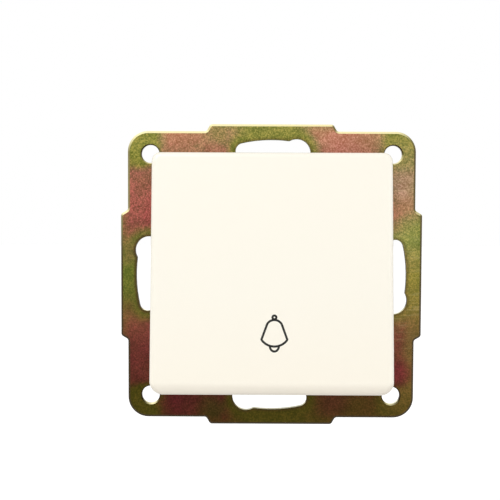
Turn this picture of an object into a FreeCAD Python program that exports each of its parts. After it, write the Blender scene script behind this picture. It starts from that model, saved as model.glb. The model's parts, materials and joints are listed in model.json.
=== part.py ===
"""Flush doorbell push button: a stamped support frame, the moulded contact housing that it grips,
and a square key whose lower half is pressed against a spring to close the bell circuit.

Millimetres. +X is right as the user faces the wall, +Y runs into the wall and +Z is up.
The origin is the middle of the frame's back face, the face that lies on the wall.
"""
import FreeCAD, Part
import math
import os
import re
import Sketcher

# Driving sizes: name, value, meaning.
SIZE_TABLE = [
    ("slot_band", "5.5", "centre line of the slots to the outer edge of a tab"),
    ("frame_sheet", "1.2", "thickness of the frame's steel sheet"),
    ("frame_corner_radius", "4.8", "outer corners of the frame"),
    ("tab_length", "28.8", "straight edge of each tab"),
    ("tab_step", "1.65", "how far each tab stands out past the corners"),
    ("tab_slope", "0.95", "run of the slanted shoulder beside a tab"),
    ("shoulder_radius", "0.8", "rounding of the tab shoulders"),
    ("rolled_edge", "0.5", "bevel that the punch leaves round the outline"),
    ("punched_edge", "0.25", "bevel round the corner holes"),
    ("cover_hole_inset", "5.35", "corner holes, in from the frame's straight edges"),
    ("cover_hole_diameter", "4.2", "corner holes"),
    ("slot_land", "7.8", "housing's opening to the centre line of the arc slots"),
    ("slot_width", "3.7", "narrow part of an arc slot"),
    ("slot_angle", "12.8", "half of the angle that an arc slot spans"),
    ("keyhole_offset", "0.6", "wide end's middle, in from that centre line"),
    ("keyhole_angle", "11.5", "wide end's middle, round from the slot's middle"),
    ("keyhole_diameter", "6.5", "wide end, which passes over a screw head"),
    ("slot_tip_radius", "0.5", "rounding where the wide end meets the arc"),
    ("tongue_width", "12", "bent tongue that grips the housing"),
    ("tongue_depth", "8", "tongue's end, behind the frame's back face"),
    ("tongue_relief", "1", "width of the notch beside a tongue's root"),
    ("relief_depth", "2.1", "depth of that notch from the opening's edge"),
    ("bend_radius", "0.4", "inside of a tongue's bend"),
    ("terminal_wall", "2.8", "housing's wall beside a terminal chamber"),
    ("housing_chamfer", "4", "flats on the housing's four long corners"),
    ("housing_clearance", "0.2", "gap between the housing and the frame's opening"),
    ("housing_rise", "3", "housing's rim in front of the frame's back face"),
    ("housing_wall", "2.4", "wall round the front bay"),
    ("back_wall", "1.9", "floor of the housing behind the spring"),
    ("back_chamfer", "0.8", "bevel round the housing's back"),
    ("lug_width", "7", "wedge that snaps into a tongue's window"),
    ("lug_height", "1.1", "wedge at its thick end"),
    ("lug_front_height", "0.5", "wedge at its blunt thin end, which stops the housing in the window"),
    ("lug_depth", "6.4", "thick end of the wedge, behind the frame's back face"),
    ("lug_length", "3", "wedge from its thin end to its thick end"),
    ("window_gap", "0.15", "play of a wedge in its window"),
    ("bay_depth", "5", "front of the inner cover, behind the frame's back face"),
    ("cover_thickness", "2", "inner cover"),
    ("cover_play", "0.15", "gap round the inner cover"),
    ("collar_height", "1.5", "guide collar in front of the inner cover"),
    ("collar_wall", "1.6", "wall of the guide collar"),
    ("screw_side_inset", "7.6", "cover screws, in from the bay's sides"),
    ("screw_top_inset", "5.6", "cover screws, down from the bay's top"),
    ("cover_screw_diameter", "2.2", "shank of a cover screw"),
    ("cover_screw_length", "6", "shank of a cover screw under its head"),
    ("cover_screw_head", "4.4", "head of a cover screw"),
    ("cover_screw_rise", "1.4", "height of that head"),
    ("thread_play", "0.05", "radial gap drawn between a screw and its thread"),
    ("shank_play", "0.1", "radial gap round a cover screw in the inner cover"),
    ("screw_head_bevel", "0.4", "bevel round the screw heads"),
    ("core_side_wall", "4.5", "wall beside the hollows in the housing's back"),
    ("core_low", "3", "lower side of those hollows"),
    ("core_top_wall", "4", "wall over those hollows"),
    ("core_floor", "1.5", "end of the cover screws' holes to those hollows"),
    ("rib_thickness", "2.4", "rib between those hollows"),
    ("hinge_depth", "1", "hinge axis, behind the frame's back face"),
    ("pin_diameter", "3.5", "hinge pin moulded on the rocker"),
    ("pin_clearance", "0.05", "radial running gap of the hinge pin"),
    ("pin_end_gap", "0.4", "hinge pin's end, short of the housing's outer face"),
    ("lead_in_width", "3.8", "ramp that lets a hinge pin snap in"),
    ("lead_in_depth", "1.2", "ramp at the rim"),
    ("lead_in_length", "2.2", "ramp from the rim inwards"),
    ("rest_tilt", "6.3", "lean of the key at rest, lower edge out"),
    ("press_angle", "7", "full travel of the key"),
    ("key_overhang", "9.3", "key's side, past the rocker's"),
    ("key_rise", "7.5", "key's top and bottom, past the rocker's"),
    ("key_reach", "12.3", "key's face in front of the hinge axis"),
    ("key_face", "1.8", "thickness of the key's face"),
    ("key_wall", "1.6", "thickness of the key's skirt"),
    ("key_gap", "0.845", "key's upper rear edge to the frame at rest"),
    ("key_top_corner", "2", "corners at the key's top"),
    ("key_low_corner", "3", "corners at the key's bottom"),
    ("key_edge", "1.2", "rounding round the face"),
    ("key_roll_height", "3.2", "how far up the face's lower edge rolls back"),
    ("key_roll_radius", "5", "radius of that roll"),
    ("key_rib_gap", "3.7", "rocker to a stiffening rib behind the face"),
    ("key_rib_thickness", "1.2", "one of those ribs across"),
    ("key_rib_height", "1.8", "one of those ribs, front to back"),
    ("key_rib_length", "44", "one of those ribs, end to end"),
    ("hook_side", "9.5", "middle of a snap hook, from the key's middle"),
    ("hook_width", "5", "snap hook across"),
    ("hook_thickness", "1.4", "arm of a snap hook"),
    ("hook_gap", "0.1", "play between a hook and the rocker"),
    ("hook_catch", "0.9", "barb of a snap hook"),
    ("hook_tip", "1.2", "length of the barb"),
    ("rocker_gap", "1.4", "rocker to the side of the front bay"),
    ("rocker_height", "40", "rocker from top to bottom"),
    ("rocker_plate", "2", "thickness of the rocker's plate"),
    ("rocker_corner", "2", "corners of the rocker's plate"),
    ("cheek_thickness", "2.2", "cheek that carries a hinge pin"),
    ("cheek_height", "22", "cheek where it leaves the plate"),
    ("cheek_boss", "6", "diameter of the cheek's round end"),
    ("thrust_diameter", "5.2", "shoulder on the hinge pin"),
    ("thrust_gap", "0.2", "play between that shoulder and the housing"),
    ("nose_drop", "12", "nose below the hinge axis"),
    ("nose_reach", "2", "middle of the nose, in front of the hinge axis"),
    ("nose_radius", "1.5", "rounded end of the nose"),
    ("nose_width", "7", "nose across"),
    ("nose_root", "6", "nose where it leaves the plate"),
    ("nose_gap", "0.1", "nose to the carrier's head"),
    ("brace_thickness", "1.6", "rib between the cheeks"),
    ("brace_height", "2.5", "that rib, front to back"),
    ("foot_width", "3.2", "stop foot across"),
    ("foot_overlap", "1.8", "stop foot over the housing's rim"),
    ("stop_gap", "0.15", "stop foot to the rim at the end of its travel"),
    ("light_side", "4", "near side of the rocker's windows"),
    ("light_width", "8", "rocker's windows across"),
    ("light_low", "3", "lower side of those windows"),
    ("light_height", "13", "those windows from bottom to top"),
    ("stem_width", "7", "carrier's stem across"),
    ("stem_height", "4.4", "carrier's stem from top to bottom"),
    ("guide_play", "0.15", "gap round the stem in its guide"),
    ("carrier_gap", "0.1", "carrier's flange to the inner cover at rest"),
    ("flange_step", "1.5", "carrier's flange, past its stem"),
    ("block_wall", "1.2", "carrier over and under the bridge's window"),
    ("flange_thickness", "1.6", "carrier's flange"),
    ("window_play", "0.3", "gap over and under the bridge in its window"),
    ("bar_thickness", "2", "bar behind the window"),
    ("tail_diameter", "2.8", "pin that centres the return spring"),
    ("tail_length", "1.8", "that pin"),
    ("block_play", "0.5", "gap over and under the carrier in its chamber"),
    ("bridge_gap", "1.2", "bridge's end to the side of the chamber"),
    ("well_gap", "1.3", "carrier to the side of the spring's well"),
    ("spring_recess", "0.6", "round seat of the return spring in the floor"),
    ("return_spring_length", "4.6", "return spring at rest"),
    ("return_spring_diameter", "5.2", "return spring over its wire"),
    ("return_wire", "0.5", "wire of the return spring"),
    ("return_turns", "3", "turns of the return spring"),
    ("contact_spring_length", "5.2", "contact spring in the carrier's window"),
    ("contact_spring_diameter", "3.6", "contact spring over its wire"),
    ("contact_wire", "0.4", "wire of the contact spring"),
    ("contact_turns", "3", "turns of the contact spring"),
    ("seat_play", "0.3", "gap round the return spring in its seat"),
    ("bridge_margin", "0.2", "bridge's end, past its tip"),
    ("bridge_width", "4", "contact bridge and fixed strips across"),
    ("bridge_sheet", "0.6", "thickness of the contact bridge"),
    ("bridge_corner", "1.2", "corners of the contact bridge"),
    ("tip_margin", "0.1", "fixed tip, in from the end of its strip"),
    ("tip_diameter", "2.8", "contact tip"),
    ("tip_height", "0.6", "contact tip"),
    ("rivet_diameter", "1.2", "shank of a contact tip"),
    ("rivet_play", "0.02", "radial gap round that shank"),
    ("closing_gap", "0.05", "gap that is left between the tips at full travel"),
    ("strip_sheet", "0.8", "thickness of a fixed contact strip"),
    ("strip_inset", "0.1", "end of a fixed strip, past the edge of the well"),
    ("riser_inset", "1", "strip's riser, past the side of the chamber"),
    ("strip_play", "0.2", "gap beside a strip in its channel"),
    ("strip_end_gap", "0.6", "strip's end to the far wall of its clamp"),
    ("strip_bend", "0.5", "outside of a strip's bends"),
    ("riser_gap", "0.8", "strip's riser to its cage"),
    ("cage_width", "7.2", "terminal cage across"),
    ("cage_height", "7.6", "terminal cage along the wire"),
    ("cage_wall", "1", "front and side walls of a cage"),
    ("cage_back", "1.6", "threaded rear wall of a cage"),
    ("cage_play", "0.2", "gap round a cage in its chamber"),
    ("wire_diameter", "3.4", "wire entry"),
    ("wire_play", "0.2", "room beside the wire between strip and clamp plate"),
    ("clamp_thickness", "1.2", "clamp plate"),
    ("clamp_play", "0.3", "gap round a clamp plate in its cage"),
    ("clamp_teeth", "0.4", "depth of the grooves that bite the wire"),
    ("clamp_grooves", "3", "how many of those grooves"),
    ("clamp_travel", "1.6", "room behind a clamp plate"),
    ("terminal_screw_diameter", "3", "shank of a terminal screw"),
    ("terminal_head_diameter", "5.8", "head of a terminal screw"),
    ("terminal_head_rise", "2.2", "height of that head"),
    ("terminal_head_gap", "1.2", "head to the cage"),
    ("driver_slot", "0.9", "screwdriver slot across"),
    ("driver_depth", "1", "depth of a screwdriver slot"),
    ("head_play", "0.4", "gap round a terminal screw's head in its hole"),
]

# Places that several pieces share, each worked out from the sizes: first across the part, from the
# contacts outwards to the frame's tabs, and then in depth.
WELL = "(stem_width / 2 + well_gap)"
STRIP_START = f"({WELL} + strip_inset)"
TIP = f"({STRIP_START} + tip_margin + tip_diameter / 2)"
BRIDGE_HALF = f"({TIP} + tip_diameter / 2 + bridge_margin)"
CHAMBER = f"({BRIDGE_HALF} + bridge_gap)"
RISER = f"({CHAMBER} + riser_inset)"
TERMINAL = f"({RISER} + strip_sheet + riser_gap + cage_width / 2)"
HOUSING_HALF = f"({TERMINAL} + cage_width / 2 + cage_play + terminal_wall)"
OPENING = f"({HOUSING_HALF} + housing_clearance)"
BAY = f"({HOUSING_HALF} - housing_wall)"
SCREW_SIDE = f"({BAY} - screw_side_inset)"
SCREW_HEIGHT = f"({BAY} - screw_top_inset)"
SLOT_RADIUS = f"({OPENING} + slot_land)"
KEYHOLE_RADIUS = f"({SLOT_RADIUS} - keyhole_offset)"
TAB_EDGE = f"({SLOT_RADIUS} + slot_band)"
FRAME_HALF = f"({TAB_EDGE} - tab_step)"
COVER_HOLE = f"({FRAME_HALF} - cover_hole_inset)"
ROCKER_HALF = f"({BAY} - rocker_gap)"
FOOT_EDGE = f"({BAY} + foot_overlap)"
KEY_HALF = f"({ROCKER_HALF} + key_overhang)"
KEY_RISE = "(rocker_height / 2 + key_rise)"
CONTACT_LEVEL = "(-nose_drop)"
WINDOW_HALF = "(bridge_width / 2 + window_play)"
BLOCK_HALF = f"({WINDOW_HALF} + block_wall)"
CHAMBER_RISE = f"({BLOCK_HALF} + block_play)"

FRAME_FRONT = "(-frame_sheet)"
RIM = "(-housing_rise)"
SEAT = "(bay_depth + cover_thickness)"
CORE_FRONT = f"({SEAT} + cover_screw_length + core_floor)"
PRESSED = "(press_angle - rest_tilt)"
NOSE_REST = "(-nose_reach * cos(rest_tilt) - nose_drop * sin(rest_tilt))"
NOSE_PRESSED = f"(-nose_reach * cos({PRESSED}) + nose_drop * sin({PRESSED}))"
TRAVEL = f"({NOSE_PRESSED} - {NOSE_REST})"
HEAD_FRONT = f"(hinge_depth + {NOSE_REST} + nose_radius + nose_gap)"
FLANGE_FRONT = f"({SEAT} + carrier_gap)"
WINDOW_FRONT = f"({FLANGE_FRONT} + flange_thickness)"
BRIDGE_FRONT = f"({WINDOW_FRONT} + contact_spring_length)"
BRIDGE_BACK = f"({BRIDGE_FRONT} + bridge_sheet)"
BAR_BACK = f"({BRIDGE_BACK} + bar_thickness)"
FIXED_TIP_FRONT = f"({BRIDGE_BACK} + tip_height + {TRAVEL} + closing_gap)"
STRIP_FRONT = f"({FIXED_TIP_FRONT} + tip_height)"
STRIP_BACK = f"({STRIP_FRONT} + strip_sheet)"
SPRING_END = f"({BAR_BACK} + return_spring_length)"
WELL_FLOOR = f"({SPRING_END} - spring_recess)"
HOUSING_BACK = f"({SPRING_END} + back_wall)"
CAGE_FRONT = f"({SEAT} + cage_play)"
LEG_FRONT = f"({CAGE_FRONT} + cage_wall)"
LEG_BACK = f"({LEG_FRONT} + strip_sheet)"
WIRE_SPACE = "(wire_diameter + wire_play)"
WIRE_DEPTH = f"({LEG_BACK} + {WIRE_SPACE} / 2)"
CLAMP_FRONT = f"({LEG_BACK} + {WIRE_SPACE})"
CLAMP_BACK = f"({CLAMP_FRONT} + clamp_thickness)"
CAGE_REAR = f"({CLAMP_BACK} + clamp_travel)"
CAGE_END = f"({CAGE_REAR} + cage_back)"
CHAMBER_END = f"({CAGE_END} + cage_play)"
HEAD_UNDER = f"({CAGE_END} + terminal_head_gap)"
ROCKER_FRONT = "(key_face - key_reach)"
ROCKER_BACK = f"({ROCKER_FRONT} + rocker_plate)"
SKIRT_REAR = f"(-(frame_sheet + key_gap + hinge_depth + {KEY_RISE} * sin(rest_tilt)) / cos(rest_tilt))"

SMALL = 0.01
BEYOND = 1.0
WIRE_SIDES = 5

document = FreeCAD.newDocument("doorbell_push_button")
sheet = document.addObject("Spreadsheet::Sheet", "Sizes")
for row, (alias, number, meaning) in enumerate(SIZE_TABLE, 1):
    sheet.set(f"A{row}", alias)
    sheet.set(f"B{row}", number)
    sheet.set(f"C{row}", meaning)
    sheet.setAlias(f"B{row}", alias)
document.recompute()


def formula(text):
    """Point each size named in a formula at its cell in the sheet."""
    return re.sub(r"[a-z]+(?:_[a-z]+)+", lambda found: "Sizes." + found.group(0), str(text))


def value(text):
    """Work a formula out as a number."""
    return float(sheet.evalExpression(formula(text)))


def origin_part(body, role):
    """Find a plane or axis of a body's own origin."""
    return next(part for part in body.Origin.OriginFeatures if part.Role == role)


def new_body(name):
    """Start the solid of one named piece."""
    body = document.addObject("PartDesign::Body", name)
    body.Label = name
    return body


def sketch(body, name, role, offset):
    """Lay a sketch on one of the body's planes, moved along the plane's normal by a formula."""
    drawing = body.newObject("Sketcher::SketchObject", f"{body.Name}_{name}")
    drawing.AttachmentSupport = (origin_part(body, role), [""])
    drawing.MapMode = "FlatFace"
    drawing.AttachmentOffset = FreeCAD.Placement(FreeCAD.Vector(0, 0, value(offset)), FreeCAD.Rotation())
    drawing.setExpression("AttachmentOffset.Base.z", formula(offset))
    return drawing


def facing(body, name, depth):
    """A sketch parallel to the wall at a depth; its axes are X and Z."""
    return sketch(body, name, "XZ_Plane", f"-({depth})")


def sideways(body, name, place="0"):
    """A sketch square to the X axis; its axes are Y and Z."""
    return sketch(body, name, "YZ_Plane", place)


def level(body, name, height="0"):
    """A horizontal sketch; its axes are X and Y."""
    return sketch(body, name, "XY_Plane", height)


def hold(drawing, geometry, point, across, up):
    """Tie a point of a sketch to two formulas, measured from the sketch's origin."""
    for kind, text in (("DistanceX", across), ("DistanceY", up)):
        index = drawing.addConstraint(Sketcher.Constraint(kind, -1, 1, geometry, point, value(text)))
        drawing.setExpression(f"Constraints[{index}]", formula(text))


def add_polygon(drawing, corners):
    """Draw a closed outline whose corners are pairs of formulas."""
    points = [FreeCAD.Vector(value(across), value(up), 0) for across, up in corners]
    first = drawing.GeometryCount
    count = len(points)
    for step in range(count):
        drawing.addGeometry(Part.LineSegment(points[step], points[(step + 1) % count]), False)
    for step in range(count):
        joined = Sketcher.Constraint("Coincident", first + step, 2, first + (step + 1) % count, 1)
        drawing.addConstraint(joined)
    for step, (across, up) in enumerate(corners):
        hold(drawing, first + step, 1, across, up)


def add_arc_closed_line(drawing, corners, middle):
    """Draw joined straight lines through pairs of formulas, closed by an arc about a middle.

    The arc starts at the first corner, so the last corner is held in height alone.
    """
    points = [FreeCAD.Vector(value(across), value(up), 0) for across, up in corners]
    centre = FreeCAD.Vector(value(middle[0]), value(middle[1]), 0)
    lines = len(points) - 1
    for step in range(lines):
        drawing.addGeometry(Part.LineSegment(points[step], points[step + 1]), False)
        hold(drawing, step, 1, *corners[step])
        if step:
            drawing.addConstraint(Sketcher.Constraint("Coincident", step - 1, 2, step, 1))
    height = corners[-1][1]
    index = drawing.addConstraint(Sketcher.Constraint("DistanceY", -1, 1, lines - 1, 2, value(height)))
    drawing.setExpression(f"Constraints[{index}]", formula(height))
    outwards = (points[0] + points[-1]) / 2 - centre
    outwards.normalize()
    top = centre + outwards * (points[0] - centre).Length
    arc = drawing.addGeometry(Part.Arc(points[0], top, points[-1]), False)
    first_end = 1 if (drawing.Geometry[arc].StartPoint - points[0]).Length < SMALL else 2
    drawing.addConstraint(Sketcher.Constraint("Coincident", arc, first_end, 0, 1))
    drawing.addConstraint(Sketcher.Constraint("Coincident", arc, 3 - first_end, lines - 1, 2))
    hold(drawing, arc, 3, *middle)


def add_box(drawing, left, right, low, high):
    """Draw a rectangle from the formulas of its four sides."""
    add_polygon(drawing, [(left, low), (right, low), (right, high), (left, high)])


def add_circle(drawing, across, up, diameter):
    """Draw a circle from the formulas of its middle and its diameter."""
    middle = FreeCAD.Vector(value(across), value(up), 0)
    index = drawing.addGeometry(Part.Circle(middle, FreeCAD.Vector(0, 0, 1), value(diameter) / 2), False)
    number = drawing.addConstraint(Sketcher.Constraint("Diameter", index, value(diameter)))
    drawing.setExpression(f"Constraints[{number}]", formula(diameter))
    hold(drawing, index, 3, across, up)


def octagon(half, chamfer):
    """Corners of a square with flats across its corners."""
    near = f"({half} - {chamfer})"
    return [(f"-{near}", f"-{half}"), (near, f"-{half}"), (half, f"-{near}"), (half, near),
            (near, half), (f"-{near}", half), (f"-{half}", near), (f"-{half}", f"-{near}")]


def grow(body, name, drawing, length, backwards=False, both_ways=False):
    """Add material from a sketch along its normal, against it, or half each way."""
    document.recompute()
    feature = body.newObject("PartDesign::Pad", f"{body.Name}_{name}")
    feature.Profile = drawing
    feature.Reversed = backwards
    feature.Midplane = both_ways
    feature.setExpression("Length", formula(length))
    document.recompute()
    return feature


def cut(body, name, drawing, length, backwards=False, both_ways=False):
    """Remove material against the sketch's normal, along it, or half each way, and see that it went."""
    document.recompute()
    before = body.Shape.Volume
    feature = body.newObject("PartDesign::Pocket", f"{body.Name}_{name}")
    feature.Profile = drawing
    feature.Reversed = backwards
    feature.Midplane = both_ways
    feature.setExpression("Length", formula(length))
    document.recompute()
    if body.Shape.Volume > before - SMALL:
        raise RuntimeError(f"{feature.Name} removes nothing")
    return feature


def four_sides(body, name, features):
    """Repeat features on all four sides of the frame."""
    pattern = body.newObject("PartDesign::PolarPattern", f"{body.Name}_{name}")
    pattern.Originals = features
    pattern.Axis = (origin_part(body, "Y_Axis"), [""])
    pattern.Angle = 360
    pattern.Occurrences = 4
    body.Tip = pattern
    document.recompute()
    return pattern


def both_halves(body, name, features, role="YZ_Plane"):
    """Mirror features to the other side of the middle."""
    pattern = body.newObject("PartDesign::Mirrored", f"{body.Name}_{name}")
    pattern.Originals = features
    pattern.MirrorPlane = (origin_part(body, role), [""])
    body.Tip = pattern
    document.recompute()
    return pattern


def edges_where(shape, test):
    """Names of the edges that pass a test of their middle point and bounding box."""
    return [f"Edge{index}" for index, edge in enumerate(shape.Edges, 1)
            if test(edge.CenterOfMass, edge.BoundBox)]


def dress(body, kind, name, size_name, size, test):
    """Round or bevel the edges that pass a test."""
    base = body.Tip
    names = edges_where(base.Shape, test)
    if not names:
        raise RuntimeError(f"{body.Name} has no edge for {name}")
    feature = body.newObject(f"PartDesign::{kind}", f"{body.Name}_{name}")
    feature.Base = (base, names)
    feature.setExpression(size_name, formula(size))
    document.recompute()
    return feature


def round_edges(body, name, radius, test):
    return dress(body, "Fillet", name, "Radius", radius, test)


def bevel_edges(body, name, size, test):
    return dress(body, "Chamfer", name, "Size", size, test)


def near(first, second):
    return abs(first - second) < SMALL


def runs_along_depth(box):
    """True for the box of an edge parallel to the Y axis."""
    return box.XLength < SMALL and box.ZLength < SMALL and box.YLength > SMALL


def make_support_frame():
    """Stamped plate with four tabs, four arc slots, four holes and four tongues bent back."""
    body = new_body("support_frame")
    blank = facing(body, "blank", "0")
    add_box(blank, f"-{FRAME_HALF}", FRAME_HALF, f"-{FRAME_HALF}", FRAME_HALF)
    grow(body, "plate", blank, "frame_sheet")
    tab = facing(body, "tab", "0")
    foot = "(tab_length / 2 + tab_slope)"
    add_polygon(tab, [(f"-{foot}", FRAME_HALF), (foot, FRAME_HALF),
                      ("tab_length / 2", TAB_EDGE), ("-tab_length / 2", TAB_EDGE)])
    four_sides(body, "tabs", [grow(body, "one_tab", tab, "frame_sheet")])
    half = value(FRAME_HALF)
    outer = value(TAB_EDGE)
    round_edges(body, "corners", "frame_corner_radius",
                lambda c, b: runs_along_depth(b) and near(abs(c.x), half) and near(abs(c.z), half))
    shoulder = value(foot)
    round_edges(body, "shoulders", "shoulder_radius",
                lambda c, b: runs_along_depth(b) and min(abs(c.x), abs(c.z)) < shoulder + SMALL
                and any(near(max(abs(c.x), abs(c.z)), line) for line in (half, outer)))
    sheet_front = value(FRAME_FRONT)
    bevel_edges(body, "rolled_edges", "rolled_edge",
                lambda c, b: near(b.YMin, sheet_front) and near(b.YMax, sheet_front))

    through = f"frame_sheet + 2 * {BEYOND}"
    front = f"{FRAME_FRONT} - {BEYOND}"
    hole = facing(body, "cover_hole", front)
    add_circle(hole, COVER_HOLE, COVER_HOLE, "cover_hole_diameter")
    four_sides(body, "cover_holes", [cut(body, "one_cover_hole", hole, through)])

    arc = sideways(body, "slot_section")
    slot_sides = [f"{SLOT_RADIUS} - slot_width / 2", f"{SLOT_RADIUS} + slot_width / 2"]
    add_box(arc, front, str(BEYOND), *slot_sides)
    document.recompute()
    groove = body.newObject("PartDesign::Groove", "support_frame_arc")
    groove.Profile = arc
    groove.ReferenceAxis = (origin_part(body, "Y_Axis"), [""])
    groove.Midplane = True
    groove.setExpression("Angle", formula("2 * slot_angle"))
    document.recompute()
    ends = facing(body, "slot_ends", front)
    add_circle(ends, f"-{SLOT_RADIUS} * sin(slot_angle)", f"{SLOT_RADIUS} * cos(slot_angle)", "slot_width")
    narrow_end = cut(body, "narrow_end", ends, through)
    keyhole = facing(body, "keyhole", front)
    wide_middle = [f"{KEYHOLE_RADIUS} * {turn}(keyhole_angle)" for turn in ("sin", "cos")]
    add_circle(keyhole, *wide_middle, "keyhole_diameter")
    wide_end = cut(body, "wide_end", keyhole, through)
    four_sides(body, "slots", [groove, narrow_end, wide_end])
    across, up = (value(text) for text in wide_middle)
    turned = [(across, up), (up, -across), (-across, -up), (-up, across)]
    reach = value("keyhole_diameter / 2")
    inner_side, outer_side = (value(side) for side in slot_sides)

    def is_slot_tip(middle, box):
        """Where the wide end's circle crosses the two arcs of the slot, on any of the four sides."""
        if not runs_along_depth(box):
            return False
        radius = math.hypot(middle.x, middle.z)
        on_arc = near(radius, inner_side) or near(radius, outer_side)
        return on_arc and any(near(math.hypot(middle.x - x, middle.z - z), reach) for x, z in turned)

    round_edges(body, "slot_tips", "slot_tip_radius", is_slot_tip)
    corner = value(COVER_HOLE)

    def is_punched(middle, box):
        """A front edge of a corner hole."""
        at_front = near(box.YMin, sheet_front) and near(box.YMax, sheet_front)
        return at_front and near(abs(middle.x), corner) and near(abs(middle.z), corner)

    bevel_edges(body, "punched_edges", "punched_edge", is_punched)

    opening = facing(body, "opening", front)
    add_polygon(opening, octagon(OPENING, "housing_chamfer"))
    cut(body, "housing_opening", opening, through)
    tongue = sideways(body, "tongue_section")
    add_box(tongue, FRAME_FRONT, "tongue_depth", OPENING, f"{OPENING} + frame_sheet")
    one_tongue = grow(body, "tongue", tongue, "tongue_width", both_ways=True)
    relief = facing(body, "relief", front)
    for sign in ("", "-"):
        add_box(relief, f"{sign}(tongue_width / 2)", f"{sign}(tongue_width / 2 + tongue_relief)",
                f"{OPENING} - {BEYOND}", f"{OPENING} + relief_depth")
    notches = cut(body, "notches", relief, through)
    window = level(body, "window", f"{OPENING} - {BEYOND}")
    add_box(window, "-(lug_width / 2 + window_gap)", "lug_width / 2 + window_gap",
            "lug_depth - lug_length - window_gap", "lug_depth + window_gap")
    one_window = cut(body, "one_window", window, f"frame_sheet + 2 * {BEYOND}", backwards=True)
    four_sides(body, "tongues", [one_tongue, notches, one_window])
    inner = value(OPENING)
    outside = inner + value("frame_sheet")
    tongue_half = value("tongue_width / 2")

    def along_tongue(middle, box, distance, depth):
        """An edge as long as a tongue is wide, at a distance from the middle and a depth."""
        away = max(abs(middle.x), abs(middle.z))
        long_side = max(box.XLength, box.ZLength)
        return near(away, distance) and near(box.YMin, depth) and near(box.YMax, depth) \
            and near(long_side, 2 * tongue_half)

    round_edges(body, "bend_outside", "bend_radius + frame_sheet",
                lambda c, b: along_tongue(c, b, inner, sheet_front))
    round_edges(body, "bend_inside", "bend_radius", lambda c, b: along_tongue(c, b, outside, 0))
    return body


def make_housing():
    """Moulded box: the rocker's bay in front, the contact and terminal chambers behind it."""
    body = new_body("housing")
    blank = facing(body, "blank", RIM)
    add_polygon(blank, octagon(HOUSING_HALF, "housing_chamfer"))
    grow(body, "block", blank, f"{HOUSING_BACK} - {RIM}", backwards=True)
    back = value(HOUSING_BACK)
    bevel_edges(body, "back_edges", "back_chamfer", lambda c, b: near(b.YMin, back))
    lug = sideways(body, "lug_section")
    lug_start = "lug_depth - lug_length"
    add_polygon(lug, [(lug_start, HOUSING_HALF), ("lug_depth", HOUSING_HALF),
                      ("lug_depth", f"{HOUSING_HALF} + lug_height"),
                      (lug_start, f"{HOUSING_HALF} + lug_front_height")])
    four_sides(body, "lugs", [grow(body, "one_lug", lug, "lug_width", both_ways=True)])

    bay = facing(body, "bay", RIM)
    add_polygon(bay, octagon(BAY, "housing_chamfer"))
    cut(body, "front_bay", bay, f"{SEAT} - {RIM}")
    low, high = f"{CONTACT_LEVEL} - {CHAMBER_RISE}", f"{CONTACT_LEVEL} + {CHAMBER_RISE}"
    chamber = facing(body, "chamber", SEAT)
    add_box(chamber, f"-{CHAMBER}", CHAMBER, low, high)
    cut(body, "contact_chamber", chamber, f"{STRIP_BACK} - {SEAT}")
    well = facing(body, "well", SEAT)
    add_box(well, f"-{WELL}", WELL, low, high)
    cut(body, "spring_well", well, f"{WELL_FLOOR} - {SEAT}")
    seat = facing(body, "spring_seat", SEAT)
    add_circle(seat, "0", CONTACT_LEVEL, "return_spring_diameter + 2 * seat_play")
    cut(body, "spring_pocket", seat, f"{SPRING_END} - {SEAT}")

    cage_half = "(cage_width / 2 + cage_play)"
    cage_reach = "(cage_height / 2 + cage_play)"
    strip_half = "(bridge_width / 2 + strip_play)"
    terminal = facing(body, "terminal", SEAT)
    add_box(terminal, f"{TERMINAL} - {cage_half}", f"{TERMINAL} + {cage_half}",
            f"{CONTACT_LEVEL} - {cage_reach}", f"{CONTACT_LEVEL} + {cage_reach}")
    terminal_chamber = cut(body, "terminal_chamber", terminal, f"{CHAMBER_END} - {SEAT}")
    channel = facing(body, "channel", SEAT)
    add_box(channel, f"{CHAMBER} - {BEYOND}", f"{TERMINAL} - {cage_half} + {BEYOND}",
            f"{CONTACT_LEVEL} - {strip_half}", f"{CONTACT_LEVEL} + {strip_half}")
    strip_channel = cut(body, "strip_channel", channel, f"{STRIP_BACK} - {SEAT}")
    screw_well = facing(body, "screw_well", f"{CHAMBER_END} - {BEYOND}")
    add_circle(screw_well, TERMINAL, CONTACT_LEVEL, "terminal_head_diameter + 2 * head_play")
    one_screw_well = cut(body, "one_screw_well", screw_well, f"{HOUSING_BACK} - {CHAMBER_END} + 2 * {BEYOND}")
    wire = level(body, "wire", f"-({HOUSING_HALF} + {BEYOND})")
    add_circle(wire, TERMINAL, WIRE_DEPTH, "wire_diameter")
    wire_entry = cut(body, "wire_entry", wire, f"{HOUSING_HALF} + {BEYOND} - nose_drop", backwards=True)
    core = facing(body, "core", CORE_FRONT)
    add_box(core, "rib_thickness / 2", f"{HOUSING_HALF} - core_side_wall",
            "core_low", f"{HOUSING_HALF} - core_top_wall")
    hollow = cut(body, "hollow", core, f"{HOUSING_BACK} - {CORE_FRONT} + {BEYOND}")
    pilot = facing(body, "pilot", SEAT)
    add_circle(pilot, SCREW_SIDE, SCREW_HEIGHT, "cover_screw_diameter + 2 * thread_play")
    pilot_hole = cut(body, "pilot_hole", pilot, "cover_screw_length")
    ramp = level(body, "ramp")
    add_polygon(ramp, [(BAY, RIM), (f"{BAY} + lead_in_depth", RIM), (BAY, f"{RIM} + lead_in_length")])
    lead_in = cut(body, "lead_in", ramp, "lead_in_width", both_ways=True)
    both_halves(body, "left_half", [terminal_chamber, strip_channel, one_screw_well, wire_entry,
                                    hollow, pilot_hole, lead_in])
    axis = sideways(body, "axis")
    add_circle(axis, "hinge_depth", "0", "pin_diameter + 2 * pin_clearance")
    cut(body, "hinge_holes", axis, f"2 * ({HOUSING_HALF} + {BEYOND})", both_ways=True)
    return body


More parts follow.
